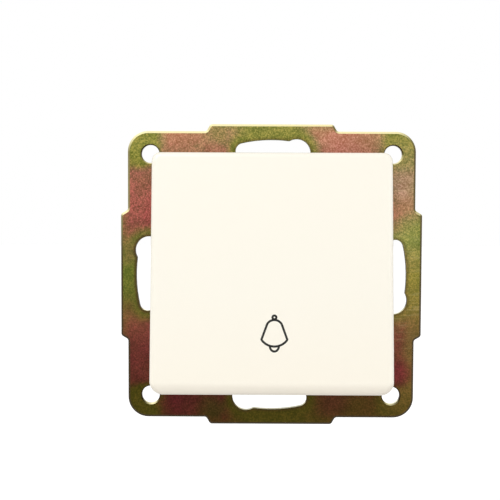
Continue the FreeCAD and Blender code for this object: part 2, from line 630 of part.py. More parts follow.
def make_housing_cover():
    """Inner cover over the contacts, with the collar that guides the carrier's stem."""
    body = new_body("housing_cover")
    blank = facing(body, "blank", SEAT)
    add_polygon(blank, octagon(f"({BAY} - cover_play)", "housing_chamfer"))
    grow(body, "plate", blank, "cover_thickness")
    hole_half = "(stem_width / 2 + guide_play)"
    hole_rise = "(stem_height / 2 + guide_play)"
    collar = facing(body, "collar", "bay_depth")
    add_box(collar, f"-({hole_half} + collar_wall)", f"{hole_half} + collar_wall",
            f"{CONTACT_LEVEL} - ({hole_rise} + collar_wall)", f"{CONTACT_LEVEL} + {hole_rise} + collar_wall")
    grow(body, "guide_collar", collar, "collar_height")
    guide = facing(body, "guide", f"bay_depth - collar_height - {BEYOND}")
    add_box(guide, f"-{hole_half}", hole_half,
            f"{CONTACT_LEVEL} - {hole_rise}", f"{CONTACT_LEVEL} + {hole_rise}")
    cut(body, "guide_hole", guide, f"collar_height + cover_thickness + 2 * {BEYOND}")
    hole = facing(body, "screw_hole", f"bay_depth - {BEYOND}")
    for sign in ("", "-"):
        add_circle(hole, f"{sign}{SCREW_SIDE}", SCREW_HEIGHT, "cover_screw_diameter + 2 * shank_play")
    cut(body, "screw_holes", hole, f"cover_thickness + 2 * {BEYOND}")
    return body


def swing(piece):
    """Set a piece that is drawn about the hinge axis, face upright, to its lean at rest."""
    piece.Placement = FreeCAD.Placement(FreeCAD.Vector(0, value("hinge_depth"), 0),
                                        FreeCAD.Rotation(FreeCAD.Vector(1, 0, 0), -value("rest_tilt")))
    piece.setExpression("Placement.Base.y", formula("hinge_depth"))
    piece.setExpression("Placement.Rotation.Angle", formula("-rest_tilt"))
    document.recompute()


def make_rocker():
    """Moulded rocker: plate, two cheeks with hinge pins, the nose and four stop feet."""
    body = new_body("rocker")
    blank = facing(body, "blank", ROCKER_FRONT)
    add_box(blank, f"-{ROCKER_HALF}", ROCKER_HALF, "-rocker_height / 2", "rocker_height / 2")
    grow(body, "plate", blank, "rocker_plate", backwards=True)
    half = value(ROCKER_HALF)
    rise = value("rocker_height / 2")
    round_edges(body, "plate_corners", "rocker_corner",
                lambda c, b: runs_along_depth(b) and near(abs(c.x), half) and near(abs(c.z), rise))
    cheek = sideways(body, "cheek", ROCKER_HALF)
    add_polygon(cheek, [(ROCKER_BACK, "-cheek_height / 2"), (ROCKER_BACK, "cheek_height / 2"),
                        ("0", "cheek_boss / 2"), ("0", "-cheek_boss / 2")])
    one_cheek = grow(body, "one_cheek", cheek, "cheek_thickness", backwards=True)
    boss = sideways(body, "boss", ROCKER_HALF)
    add_circle(boss, "0", "0", "cheek_boss")
    one_boss = grow(body, "one_boss", boss, "cheek_thickness", backwards=True)
    thrust = sideways(body, "thrust", ROCKER_HALF)
    add_circle(thrust, "0", "0", "thrust_diameter")
    one_thrust = grow(body, "one_thrust", thrust, f"{BAY} - thrust_gap - {ROCKER_HALF}")
    pin = sideways(body, "pin", ROCKER_HALF)
    add_circle(pin, "0", "0", "pin_diameter")
    one_pin = grow(body, "one_pin", pin, f"{HOUSING_HALF} - pin_end_gap - {ROCKER_HALF}")
    foot_start = f"({ROCKER_HALF} - foot_width)"
    edge = "(rocker_height / 2 - foot_overlap)"
    lower_reach = f"((housing_rise + stop_gap + hinge_depth + {FOOT_EDGE} * sin({PRESSED})) / cos({PRESSED}))"
    upper_reach = f"((housing_rise + stop_gap + hinge_depth + {FOOT_EDGE} * sin(rest_tilt)) / cos(rest_tilt))"
    low_foot = facing(body, "low_foot", ROCKER_FRONT)
    add_box(low_foot, foot_start, ROCKER_HALF, f"-{FOOT_EDGE}", f"-{edge}")
    lower_foot = grow(body, "lower_foot", low_foot, f"-{ROCKER_FRONT} - {lower_reach}", backwards=True)
    high_foot = facing(body, "high_foot", ROCKER_FRONT)
    add_box(high_foot, foot_start, ROCKER_HALF, edge, FOOT_EDGE)
    upper_foot = grow(body, "upper_foot", high_foot, f"-{ROCKER_FRONT} - {upper_reach}", backwards=True)
    light = facing(body, "light", f"{ROCKER_FRONT} - {BEYOND}")
    add_box(light, "light_side", "light_side + light_width", "light_low", "light_low + light_height")
    one_light = cut(body, "one_light", light, f"rocker_plate + 2 * {BEYOND}")
    both_halves(body, "left_half", [one_cheek, one_boss, one_thrust, one_pin,
                                    lower_foot, upper_foot, one_light])

    nose = sideways(body, "nose")
    add_polygon(nose, [(ROCKER_BACK, "-nose_drop - nose_root / 2"),
                       (ROCKER_BACK, "-nose_drop + nose_root / 2"),
                       ("-nose_reach", "-nose_drop + nose_radius"),
                       ("-nose_reach", "-nose_drop - nose_radius")])
    grow(body, "nose_web", nose, "nose_width", both_ways=True)
    tip = sideways(body, "nose_tip")
    add_circle(tip, "-nose_reach", "-nose_drop", "2 * nose_radius")
    grow(body, "nose_end", tip, "nose_width", both_ways=True)
    brace = sideways(body, "brace")
    add_box(brace, ROCKER_BACK, f"{ROCKER_BACK} + brace_height",
            "-nose_drop - brace_thickness / 2", "-nose_drop + brace_thickness / 2")
    grow(body, "cross_brace", brace, f"2 * {ROCKER_HALF}", both_ways=True)
    swing(body)
    return body


def make_key():
    """Square key: a face that rolls back along its lower edge, a skirt, ribs and four snap hooks."""
    body = new_body("key")
    outline = facing(body, "outline", "-key_reach")
    add_box(outline, f"-{KEY_HALF}", KEY_HALF, f"-{KEY_RISE}", KEY_RISE)
    grow(body, "block", outline, f"{SKIRT_REAR} + key_reach", backwards=True)
    side = value(KEY_HALF)
    rise = value(KEY_RISE)
    round_edges(body, "top_corners", "key_top_corner",
                lambda c, b: runs_along_depth(b) and near(abs(c.x), side) and near(c.z, rise))
    round_edges(body, "low_corners", "key_low_corner",
                lambda c, b: runs_along_depth(b) and near(abs(c.x), side) and near(c.z, -rise))
    roll_start = f"(key_roll_height - {KEY_RISE})"
    roll_run = f"(key_roll_height + {BEYOND})"
    roll_end = f"(-key_reach + key_roll_radius - sqrt(key_roll_radius ^ 2 - {roll_run} ^ 2))"
    below = f"(-{KEY_RISE} - {BEYOND})"
    roll = sideways(body, "roll")
    corners = [("-key_reach", roll_start), (f"-key_reach - {BEYOND}", roll_start),
               (f"-key_reach - {BEYOND}", below), (roll_end, below)]
    add_arc_closed_line(roll, corners, ("-key_reach + key_roll_radius", roll_start))
    cut(body, "rolled_edge", roll, f"2 * ({KEY_HALF} + {BEYOND})", both_ways=True)
    rear = value(SKIRT_REAR)
    bend = value(roll_start)
    round_edges(body, "face_edges", "key_edge",
                lambda c, b: b.YMax < rear - SMALL and not (b.ZLength < SMALL and near(c.z, bend)))
    hollow = facing(body, "hollow", ROCKER_FRONT)
    add_box(hollow, f"-({KEY_HALF} - key_wall)", f"{KEY_HALF} - key_wall",
            f"-({KEY_RISE} - key_wall)", f"{KEY_RISE} - key_wall")
    cut(body, "inside", hollow, f"{SKIRT_REAR} - {ROCKER_FRONT} + {BEYOND}")
    rib = facing(body, "rib", ROCKER_FRONT)
    add_box(rib, f"{ROCKER_HALF} + key_rib_gap", f"{ROCKER_HALF} + key_rib_gap + key_rib_thickness",
            "-key_rib_length / 2", "key_rib_length / 2")
    one_rib = grow(body, "one_rib", rib, "key_rib_height", backwards=True)
    arm = "(rocker_height / 2 + hook_gap)"
    catch = f"({ROCKER_BACK} + hook_gap)"
    profile = [(ROCKER_FRONT, arm), (ROCKER_FRONT, f"({arm} + hook_thickness)"),
               (f"{catch} + hook_tip", f"({arm} + hook_thickness)"), (f"{catch} + hook_tip", arm),
               (catch, f"({arm} - hook_catch)"), (catch, arm)]
    hooks = []
    for name, sign in (("upper_hook", ""), ("lower_hook", "-")):
        hook = sideways(body, name, "hook_side - hook_width / 2")
        add_polygon(hook, [(depth, f"{sign}{height}") for depth, height in profile])
        hooks.append(grow(body, f"one_{name}", hook, "hook_width"))
    both_halves(body, "left_half", [one_rib, *hooks])
    swing(body)
    return body


def make_contact_carrier():
    """Sliding carrier: stem, flange, a body with the bridge's window, and the spring's pin."""
    body = new_body("contact_carrier")
    low, high = f"{CONTACT_LEVEL} - {BLOCK_HALF}", f"{CONTACT_LEVEL} + {BLOCK_HALF}"
    stem = facing(body, "stem", HEAD_FRONT)
    add_box(stem, "-stem_width / 2", "stem_width / 2",
            f"{CONTACT_LEVEL} - stem_height / 2", f"{CONTACT_LEVEL} + stem_height / 2")
    grow(body, "stem_bar", stem, f"{FLANGE_FRONT} - {HEAD_FRONT}", backwards=True)
    flange = facing(body, "flange", FLANGE_FRONT)
    add_box(flange, "-(stem_width / 2 + flange_step)", "stem_width / 2 + flange_step", low, high)
    grow(body, "stop_flange", flange, "flange_thickness", backwards=True)
    block = facing(body, "block", WINDOW_FRONT)
    add_box(block, "-stem_width / 2", "stem_width / 2", low, high)
    grow(body, "window_block", block, f"{BAR_BACK} - {WINDOW_FRONT}", backwards=True)
    window = sideways(body, "window")
    add_box(window, WINDOW_FRONT, BRIDGE_BACK,
            f"{CONTACT_LEVEL} - {WINDOW_HALF}", f"{CONTACT_LEVEL} + {WINDOW_HALF}")
    cut(body, "bridge_window", window, f"stem_width + 2 * {BEYOND}", both_ways=True)
    tail = facing(body, "tail", BAR_BACK)
    add_circle(tail, "0", CONTACT_LEVEL, "tail_diameter")
    grow(body, "spring_pin", tail, "tail_length", backwards=True)
    return body


def make_contact_bridge():
    """Flat copper bridge with a rivet hole at each end."""
    body = new_body("contact_bridge")
    blank = facing(body, "blank", BRIDGE_FRONT)
    add_box(blank, f"-{BRIDGE_HALF}", BRIDGE_HALF,
            f"{CONTACT_LEVEL} - bridge_width / 2", f"{CONTACT_LEVEL} + bridge_width / 2")
    grow(body, "strip", blank, "bridge_sheet", backwards=True)
    round_edges(body, "ends", "bridge_corner", lambda c, b: runs_along_depth(b))
    hole = facing(body, "rivet", f"{BRIDGE_FRONT} - {BEYOND}")
    for sign in ("", "-"):
        add_circle(hole, f"{sign}{TIP}", CONTACT_LEVEL, "rivet_diameter + 2 * rivet_play")
    cut(body, "rivet_holes", hole, f"bridge_sheet + 2 * {BEYOND}")
    return body


def make_tip(name, sign, face, root, shank_end):
    """Riveted contact tip: a flat button from its face to its root, and a shank behind it."""
    body = new_body(name)
    direction = 1 if value(root) > value(face) else -1
    button = facing(body, "button", root)
    add_circle(button, f"{sign}{TIP}", CONTACT_LEVEL, "tip_diameter")
    grow(body, "head", button, "tip_height", backwards=direction < 0)
    rivet = facing(body, "rivet", root)
    add_circle(rivet, f"{sign}{TIP}", CONTACT_LEVEL, "rivet_diameter")
    grow(body, "shank", rivet, shank_end, backwards=direction > 0)
    return body


def make_spring(name, start, length, diameter, wire, turns):
    """Compression spring: wire carried along a helix that ends on its two seats.

    The wire is drawn with a few flat sides, which keeps a part this small light in facets.
    """
    body = new_body(name)
    section = level(body, "section", "0")
    corners = []
    for step in range(WIRE_SIDES):
        angle = 360 * step / WIRE_SIDES
        corners.append((f"({diameter} - {wire}) / 2 + {wire} / 2 * cos({angle})",
                        f"{start} + {wire} / 2 * (1 + sin({angle}))"))
    add_polygon(section, corners)
    document.recompute()
    coil = body.newObject("PartDesign::AdditiveHelix", f"{name}_coil")
    coil.Profile = section
    coil.ReferenceAxis = (origin_part(body, "Y_Axis"), [""])
    coil.Mode = "height-turns-angle"
    coil.setExpression("Height", formula(f"{length} - {wire}"))
    coil.setExpression("Turns", formula(turns))
    document.recompute()
    body.Placement = FreeCAD.Placement(FreeCAD.Vector(0, 0, value(CONTACT_LEVEL)), FreeCAD.Rotation())
    body.setExpression("Placement.Base.z", formula(CONTACT_LEVEL))
    document.recompute()
    return body


def make_fixed_contact(name, sign):
    """Bent strip: under its tip, up past the chamber's wall and into the terminal cage."""
    body = new_body(name)
    end = f"{TERMINAL} + cage_width / 2 - cage_wall - strip_end_gap"
    riser_back = f"{RISER} + strip_sheet"
    profile = level(body, "profile", CONTACT_LEVEL)
    outline = [(STRIP_START, STRIP_FRONT), (RISER, STRIP_FRONT), (RISER, LEG_FRONT),
               (end, LEG_FRONT), (end, LEG_BACK), (riser_back, LEG_BACK),
               (riser_back, STRIP_BACK), (STRIP_START, STRIP_BACK)]
    add_polygon(profile, [(f"{sign}({across})", depth) for across, depth in outline])
    grow(body, "strip", profile, "bridge_width", both_ways=True)
    bends = [(value(RISER), value(LEG_FRONT)), (value(riser_back), value(STRIP_BACK))]
    round_edges(body, "bends", "strip_bend",
                lambda c, b: any(near(abs(c.x), x) and near(c.y, y) for x, y in bends))
    hole = facing(body, "rivet", f"{STRIP_FRONT} - {BEYOND}")
    add_circle(hole, f"{sign}{TIP}", CONTACT_LEVEL, "rivet_diameter + 2 * rivet_play")
    cut(body, "rivet_hole", hole, f"strip_sheet + 2 * {BEYOND}")
    return body


def make_terminal_cage(name, sign):
    """Box clamp open along the wire, with a slot for the strip and a threaded rear wall."""
    body = new_body(name)
    middle = f"{sign}{TERMINAL}"
    profile = level(body, "profile", CONTACT_LEVEL)
    add_box(profile, f"{middle} - cage_width / 2", f"{middle} + cage_width / 2", CAGE_FRONT, CAGE_END)
    add_box(profile, f"{middle} - (cage_width / 2 - cage_wall)", f"{middle} + cage_width / 2 - cage_wall",
            LEG_FRONT, CAGE_REAR)
    grow(body, "box", profile, "cage_height", both_ways=True)
    slot = sideways(body, "slot", middle)
    slot_half = "(bridge_width / 2 + strip_play)"
    add_box(slot, LEG_FRONT, f"{LEG_BACK} + strip_play",
            f"{CONTACT_LEVEL} - {slot_half}", f"{CONTACT_LEVEL} + {slot_half}")
    cut(body, "strip_slot", slot, f"cage_width / 2 + {BEYOND}", backwards=sign == "-")
    thread = facing(body, "thread", f"{CAGE_REAR} - {BEYOND}")
    add_circle(thread, middle, CONTACT_LEVEL, "terminal_screw_diameter + 2 * thread_play")
    cut(body, "threaded_hole", thread, f"cage_back + 2 * {BEYOND}")
    return body


def make_clamp_plate(name, sign):
    """Clamp plate with grooves across the face that bites the wire."""
    body = new_body(name)
    half = "(cage_width / 2 - cage_wall - clamp_play)"
    share = f"({half} * 2 / clamp_grooves)"
    outline = [(f"-{half}", CLAMP_BACK), (f"-{half}", CLAMP_FRONT)]
    for step in range(round(value("clamp_grooves"))):
        start = f"(-{half} + {step} * {share})"
        outline.append((f"{start} + {share} / 2", f"{CLAMP_FRONT} + clamp_teeth"))
        outline.append((f"{start} + {share}", CLAMP_FRONT))
    outline.append((half, CLAMP_BACK))
    profile = level(body, "profile", CONTACT_LEVEL)
    add_polygon(profile, [(f"{sign}{TERMINAL} + {across}", depth) for across, depth in outline])
    grow(body, "plate", profile, "cage_height - 2 * clamp_play", both_ways=True)
    return body


def make_screw(name, across, up, tip, under, shank, head, head_rise, head_backwards):
    """Slotted pan-head screw: its tip and the underside of its head are depths."""
    body = new_body(name)
    core = facing(body, "core", under)
    add_circle(core, across, up, shank)
    grow(body, "shank", core, f"abs({under} - ({tip}))", backwards=not head_backwards)
    disc = facing(body, "disc", under)
    add_circle(disc, across, up, head)
    grow(body, "head", disc, head_rise, backwards=head_backwards)
    top = value(under) + value(head_rise) * (1 if head_backwards else -1)
    bevel_edges(body, "head_edge", "screw_head_bevel",
                lambda c, b: near(b.YMin, top) and near(b.YMax, top))
    slot_floor = f"{under} + {head_rise} - driver_depth" if head_backwards \
        else f"{under} - {head_rise} + driver_depth"
    slot = facing(body, "slot", slot_floor)
    add_box(slot, f"{across} - {head} / 2 - {BEYOND}", f"{across} + {head} / 2 + {BEYOND}",
            f"{up} - driver_slot / 2", f"{up} + driver_slot / 2")
    cut(body, "driver_slot", slot, f"driver_depth + {BEYOND}", backwards=not head_backwards)
    return body


pieces = [make_support_frame(), make_housing(), make_housing_cover(), make_rocker(), make_key(),
          make_contact_carrier(), make_contact_bridge(),
          make_spring("contact_spring", WINDOW_FRONT, "contact_spring_length",
                      "contact_spring_diameter", "contact_wire", "contact_turns"),
          make_spring("return_spring", BAR_BACK, "return_spring_length",
                      "return_spring_diameter", "return_wire", "return_turns")]
for hand, sign in (("left", "-"), ("right", "")):
    pieces += [
        make_tip(f"bridge_tip_{hand}", sign, f"{BRIDGE_BACK} + tip_height", BRIDGE_BACK, "bridge_sheet"),
        make_tip(f"fixed_tip_{hand}", sign, FIXED_TIP_FRONT, STRIP_FRONT, "strip_sheet"),
        make_fixed_contact(f"fixed_contact_{hand}", sign),
        make_terminal_cage(f"terminal_cage_{hand}", sign),
        make_clamp_plate(f"clamp_plate_{hand}", sign),
        make_screw(f"terminal_screw_{hand}", f"{sign}{TERMINAL}", CONTACT_LEVEL, CLAMP_BACK, HEAD_UNDER,
                   "terminal_screw_diameter", "terminal_head_diameter", "terminal_head_rise", True),
        make_screw(f"cover_screw_{hand}", f"{sign}{SCREW_SIDE}", SCREW_HEIGHT,
                   "bay_depth + cover_screw_length", "bay_depth", "cover_screw_diameter",
                   "cover_screw_head", "cover_screw_rise", False),
    ]

document.recompute()
for item in document.Objects:
    if {"Invalid", "Error"} & set(item.State):
        raise RuntimeError(f"{item.Name} failed: {item.State}")
os.makedirs("parts", exist_ok=True)
for piece in pieces:
    if piece.Shape.isNull() or not piece.Shape.isValid():
        raise RuntimeError(f"{piece.Label} has no valid shape")
    piece.Shape.exportStep(f"parts/{piece.Label}.step")
    print(f"{piece.Label}: {len(piece.Shape.Solids)} solid, {piece.Shape.Volume:.2f} mm3")
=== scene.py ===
"""A flush doorbell push: yellow chromated support frame, ivory key with a printed bell, and its works."""

import json
import math

import bpy
import numpy as np
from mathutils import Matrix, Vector


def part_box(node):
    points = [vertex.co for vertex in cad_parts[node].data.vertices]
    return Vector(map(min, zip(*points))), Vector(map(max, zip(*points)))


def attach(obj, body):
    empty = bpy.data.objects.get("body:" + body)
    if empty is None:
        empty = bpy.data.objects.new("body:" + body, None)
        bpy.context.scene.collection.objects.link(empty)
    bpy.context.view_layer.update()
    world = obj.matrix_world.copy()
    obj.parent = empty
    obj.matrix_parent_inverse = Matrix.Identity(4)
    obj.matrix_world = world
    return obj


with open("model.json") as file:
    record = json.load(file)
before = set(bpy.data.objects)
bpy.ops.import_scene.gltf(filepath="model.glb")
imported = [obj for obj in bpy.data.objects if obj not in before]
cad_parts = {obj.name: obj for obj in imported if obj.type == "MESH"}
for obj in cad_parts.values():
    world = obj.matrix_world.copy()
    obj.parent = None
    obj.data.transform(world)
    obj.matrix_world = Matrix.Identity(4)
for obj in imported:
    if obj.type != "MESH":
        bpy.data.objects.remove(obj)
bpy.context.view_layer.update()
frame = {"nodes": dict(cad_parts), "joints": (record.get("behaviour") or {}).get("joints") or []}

# A millimetre in metres, the unit of the frame. Finishes measure in millimetres.
MM = 0.001

# The colour sockets of a Mix node, by number because some of its sockets share a name.
MIX_FIRST = 6
MIX_SECOND = 7
MIX_RESULT = 2


def srgb(red, green, blue):
    """A colour given as 0 to 255, turned into the linear values that shaders take."""
    def channel(value):
        value /= 255
        return value / 12.92 if value <= 0.04045 else ((value + 0.055) / 1.055) ** 2.4
    return (channel(red), channel(green), channel(blue), 1.0)


class Value:
    """One output of a shader node; the operators on it add Math nodes."""

    def __init__(self, nodes, socket):
        self.nodes = nodes
        self.socket = socket

    def beside(self, output):
        """Another output of the same node."""
        return Value(self.nodes, self.socket.node.outputs[output])

    def math(self, operation, *others):
        """This value and the others, worked out by a Math node."""
        return self.nodes.add("ShaderNodeMath", {"operation": operation}, self, *others)

    def __add__(self, other):
        return self.math("ADD", other)

    __radd__ = __add__

    def __mul__(self, other):
        return self.math("MULTIPLY", other)

    __rmul__ = __mul__

    def __sub__(self, other):
        return self.math("SUBTRACT", other)

    def __rsub__(self, other):
        return self * -1 + other

    def __truediv__(self, other):
        return self.math("DIVIDE", other)

    def __abs__(self):
        return self.math("ABSOLUTE")

    def lowest(self, other):
        return self.math("MINIMUM", other)

    def highest(self, other):
        return self.math("MAXIMUM", other)

    def step(self, start, end):
        """0 before start, 1 past end and a smooth rise between them."""
        return self.nodes.add("ShaderNodeMapRange", {"interpolation_type": "SMOOTHSTEP"},
                              Value=self, **{"From Min": start, "From Max": end})


class Nodes:
    """A tree of shader nodes that is written as expressions on values."""

    def __init__(self, tree):
        self.tree = tree

    def add(self, kind, settings=None, *inputs, output=0, **named_inputs):
        """Adds a node, its settings first, then its inputs in order or by name; gives one output."""
        node = self.tree.nodes.new(kind)
        for setting, value in (settings or {}).items():
            if setting == "stops":
                self.set_stops(node.color_ramp.elements, value)
            else:
                setattr(node, setting, value)
        for socket, value in [*enumerate(inputs), *named_inputs.items()]:
            self.feed(node.inputs[socket], value)
        return Value(self, node.outputs[output])

    def set_stops(self, elements, stops):
        while len(elements) < len(stops):
            elements.new(1.0)
        for element, (place, colour) in zip(elements, stops):
            element.position = place
            element.color = colour

    def feed(self, socket, value):
        """Links a value to a socket, or sets a constant on it."""
        if isinstance(value, Value):
            self.tree.links.new(value.socket, socket)
        else:
            socket.default_value = value

    def parts(self, vector):
        """A vector's X, Y and Z as three values."""
        first = self.add("ShaderNodeSeparateXYZ", None, vector)
        return [first.beside(axis) for axis in "XYZ"]

    def ramp(self, factor, stops):
        """Colours along a number: each stop is a place from 0 to 1 and a colour."""
        return self.add("ShaderNodeValToRGB", {"stops": stops}, factor)

    def mix(self, factor, first, second, blend="MIX"):
        """Blends two colours."""
        mixed = self.add("ShaderNodeMix", {"data_type": "RGBA", "blend_type": blend}, factor,
                         output=MIX_RESULT)
        self.feed(mixed.socket.node.inputs[MIX_FIRST], first)
        self.feed(mixed.socket.node.inputs[MIX_SECOND], second)
        return mixed

    def backdrop_rays(self):
        """1 for the rays of the camera, of gloss and of clear materials, and 0 for those that only light."""
        camera = self.add("ShaderNodeLightPath", output="Is Camera Ray")
        gloss = camera.beside("Is Glossy Ray")
        clear = camera.beside("Is Transmission Ray")
        return camera.highest(gloss).highest(clear)


class Finish(Nodes):
    """A procedural material on Object coordinates in millimetres, with one Principled shader."""

    def __init__(self, name, **inputs):
        self.material = bpy.data.materials.new(name)
        self.material.use_nodes = True
        super().__init__(self.material.node_tree)
        self.shader = self.tree.nodes["Principled BSDF"]
        coordinates = self.add("ShaderNodeTexCoord", output="Object")
        self.point = self.add("ShaderNodeVectorMath", {"operation": "SCALE"}, coordinates, Scale=1 / MM)
        self.facing = coordinates.beside("Normal")
        self.shade(**inputs)

    def shade(self, **inputs):
        """Feeds the shader's inputs; a name has _ where the input's own has a space."""
        for name, value in inputs.items():
            self.feed(self.shader.inputs[name.replace("_", " ")], value)

    def noise(self, size, detail=2.0, roughness=0.5, stretch=(1, 1, 1), seed=0.0):
        """Smooth noise round 0.5 whose patches are about size millimetres across.

        Stretch draws the patches out along X, Y and Z, and each seed gives another pattern.
        """
        place = self.add("ShaderNodeMapping", None, self.point, Location=(seed, seed, seed),
                         Scale=tuple(1 / (size * part) for part in stretch))
        return self.add("ShaderNodeTexNoise", None, Vector=place, Scale=1.0, Detail=detail,
                        Roughness=roughness)

    def distance(self, place):
        """How many millimetres the surface is from a place."""
        return self.add("ShaderNodeVectorMath", {"operation": "DISTANCE"}, self.point, place,
                        output="Value")

    def bump(self, height, depth, strength):
        """Raises the surface by height, from 0 to 1, times depth in metres, softened by strength."""
        self.shade(Normal=self.add("ShaderNodeBump", None, Strength=strength, Distance=depth,
                                   Height=height))


# Noise between these values fades from one shade to the other, in finishes that drift a little.
DRIFT = (0.3, 0.7)

# The chromate film's colours by height, from 0 to 1, which stand for this far below and above the frame's
# middle in millimetres. Their hues are the film's own; that they grow lighter towards the top and darker
# towards the bottom is a painted reflection.
FILM_REACH = 36.0
OLIVE_FILM_AND_REFLECTION = ((0.0, srgb(86, 78, 28)), (0.12, srgb(80, 74, 24)), (0.35, srgb(116, 108, 48)),
              (0.60, srgb(122, 141, 56)), (0.86, srgb(151, 154, 66)), (1.0, srgb(170, 169, 84)))
BRICK_FILM_AND_REFLECTION = ((0.0, srgb(86, 46, 30)), (0.12, srgb(98, 40, 40)), (0.35, srgb(152, 84, 70)),
              (0.72, srgb(192, 104, 94)), (0.88, srgb(192, 137, 110)), (1.0, srgb(209, 166, 130)))
OCHRE_FILM_AND_REFLECTION = ((0.02, srgb(114, 92, 40)), (0.30, srgb(142, 118, 66)), (0.50, srgb(184, 168, 78)),
              (0.75, srgb(208, 176, 134)), (0.95, srgb(176, 172, 88)))

# Where the brick zone of each side fades in or out, in millimetres: along the side from its middle, out
# from the slots' edges, and along the side again in front of the corner holes. Last is how strong it is.
BRICK_BEGINS = (4.5, 12.0)
BRICK_OFF_SLOT = (0.6, 3.2)
BRICK_ENDS = (24.0, 27.5)
BRICK_SHARE = 0.9

# The ochre side lies to the right. Its brick is weak above a height and past a distance to the right.
OCHRE_SIDE = (22.0, 32.0)
OCHRE_SHARE = 0.8
WEAK_ABOVE = (-16.0, -8.0)
WEAK_OUTWARDS = (30.0, 33.0)
WEAK_SIDE = 0.8

# On the lower side the brick is weak to the right of the middle.
WEAK_RIGHTWARDS = (-2.0, 6.0)
LOWER_SIDE = (-30.0, -26.0)
WEAK_LOWER_SIDE = 0.6

# The olive border along the frame's outline.
BORDER = (33.0, 35.3)
BORDER_SHARE = 0.35

# How the zones' ends wave: the size of the waves and how far they reach in millimetres. The height waves
# too, by a share of its whole.
WAVE_SIZE = 7.0
WAVE_REACH = 7.0
HEIGHT_WAVE_SIZE = 11.0
HEIGHT_WAVE_REACH = 0.10

# Blotches in the film: the middle and the radius in millimetres, how strong it is, and its colour. Their
# rims wave, and each is full within a share of its radius.
BLOTCHES = (((-33.0, 0.0, 17.0), 12.0, 0.55, srgb(190, 111, 98)),
            ((-35.0, 0.0, 5.0), 5.0, 0.35, srgb(160, 90, 84)),
            ((17.0, 0.0, 30.5), 10.0, 0.35, srgb(214, 162, 146)),
            ((31.2, 0.0, 21.4), 6.0, 0.35, srgb(208, 186, 172)),
            ((29.5, 0.0, 13.5), 5.0, 0.32, srgb(202, 128, 116)),
            ((33.0, 0.0, 9.8), 7.0, 0.60, srgb(160, 184, 84)),
            ((35.5, 0.0, 20.0), 5.0, 0.35, srgb(176, 184, 82)),
            ((-13.0, 0.0, 33.5), 5.0, 0.55, srgb(160, 160, 74)),
            ((-32.5, 0.0, -18.0), 9.0, 0.50, srgb(112, 44, 48)),
            ((-21.0, 0.0, -30.5), 5.5, 0.45, srgb(96, 36, 42)),
            ((-13.5, 0.0, -31.5), 4.5, 0.60, srgb(66, 66, 26)),
            ((14.5, 0.0, -30.5), 5.5, 0.40, srgb(96, 36, 42)),
            ((30.4, 0.0, -23.0), 4.2, 0.65, srgb(134, 50, 58)))
BLOTCH_WAVE = 4.0
BLOTCH_CORE = 0.2


def film_with_painted_reflection(finish, x, z, slot_gap):
    """The film's colour with a painted reflection, darker towards the bottom: olive round the holes and
    slots and brick between them.

    The zones run along each side of the frame, by the distance from the side's middle, with wavy ends.
    The right side leans to ochre, with its brick weak above and along its outer edge, and a few rose,
    mauve, olive and crimson blotches lie on the film. Gives the film with its painted reflection, the height
    and the right side.
    """
    wave = finish.noise(WAVE_SIZE, detail=3.0, roughness=0.6) - 0.5
    height_wave = (finish.noise(HEIGHT_WAVE_SIZE, seed=7.0) - 0.5) * HEIGHT_WAVE_REACH
    height = (z + FILM_REACH) / (2 * FILM_REACH) + height_wave
    # The ramps by height carry a painted reflection: lighter at the top, darker towards the bottom.
    olive = finish.ramp(height, OLIVE_FILM_AND_REFLECTION)
    right = x.step(*OCHRE_SIDE)
    ground = finish.mix(right * OCHRE_SHARE, olive, finish.ramp(height, OCHRE_FILM_AND_REFLECTION))
    along = abs(x).lowest(abs(z)) + wave * WAVE_REACH
    between = along.step(*BRICK_BEGINS) * (slot_gap + wave).step(*BRICK_OFF_SLOT)
    weak_right = right * z.step(*WEAK_ABOVE).highest(x.step(*WEAK_OUTWARDS)) * WEAK_SIDE
    weak_low = x.step(*WEAK_RIGHTWARDS) * (1 - z.step(*LOWER_SIDE)) * WEAK_LOWER_SIDE
    strength = (1 - along.step(*BRICK_ENDS)) * (1 - weak_right) * (1 - weak_low) * (BRICK_SHARE + wave)
    film = finish.mix(between * strength, ground, finish.ramp(height, BRICK_FILM_AND_REFLECTION))
    for middle, radius, amount, colour in BLOTCHES:
        away = finish.distance(middle) + wave * BLOTCH_WAVE
        film = finish.mix((1 - away.step(radius * BLOTCH_CORE, radius)) * amount, film, colour)
    border = abs(x).highest(abs(z)).step(*BORDER) * BORDER_SHARE
    return finish.mix(border, film, olive), height, right


# The arc slots in millimetres: the frame's front face, the ring they lie on, half their width, how far they
# reach from a side's middle, and for both ends the turn from the middle in degrees, the ring and the radius.
FACE_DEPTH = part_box("support_frame")[0][1] / MM
SLOT_RING = 30.0
SLOT_HALF_WIDTH = 1.85
SLOT_REACH = 6.6
SLOT_ENDS = ((11.5, 29.4, 3.25), (-12.8, SLOT_RING, SLOT_HALF_WIDTH))

# Past their reach, over this fade, the arcs count as this much farther off.
SLOT_FADE = 1.0
PAST_SLOTS = 9


def from_slot_edge(finish, along):
    """Millimetres from the four slots' outlines: two arcs on a ring, closed by a circle at each end.

    The arcs count only within the slots' reach along a side; past it their distance is made large.
    """
    out = finish.distance((0.0, FACE_DEPTH, 0.0))
    past = along.step(SLOT_REACH, SLOT_REACH + SLOT_FADE) * PAST_SLOTS
    nearest = abs(abs(out - SLOT_RING) - SLOT_HALF_WIDTH) + past
    for degrees, ring, radius in SLOT_ENDS:
        for side in range(4):
            turn = math.radians(degrees + 90 * side)
            middle = (ring * math.sin(turn), FACE_DEPTH, ring * math.cos(turn))
            nearest = nearest.lowest(abs(finish.distance(middle) - radius))
    return nearest


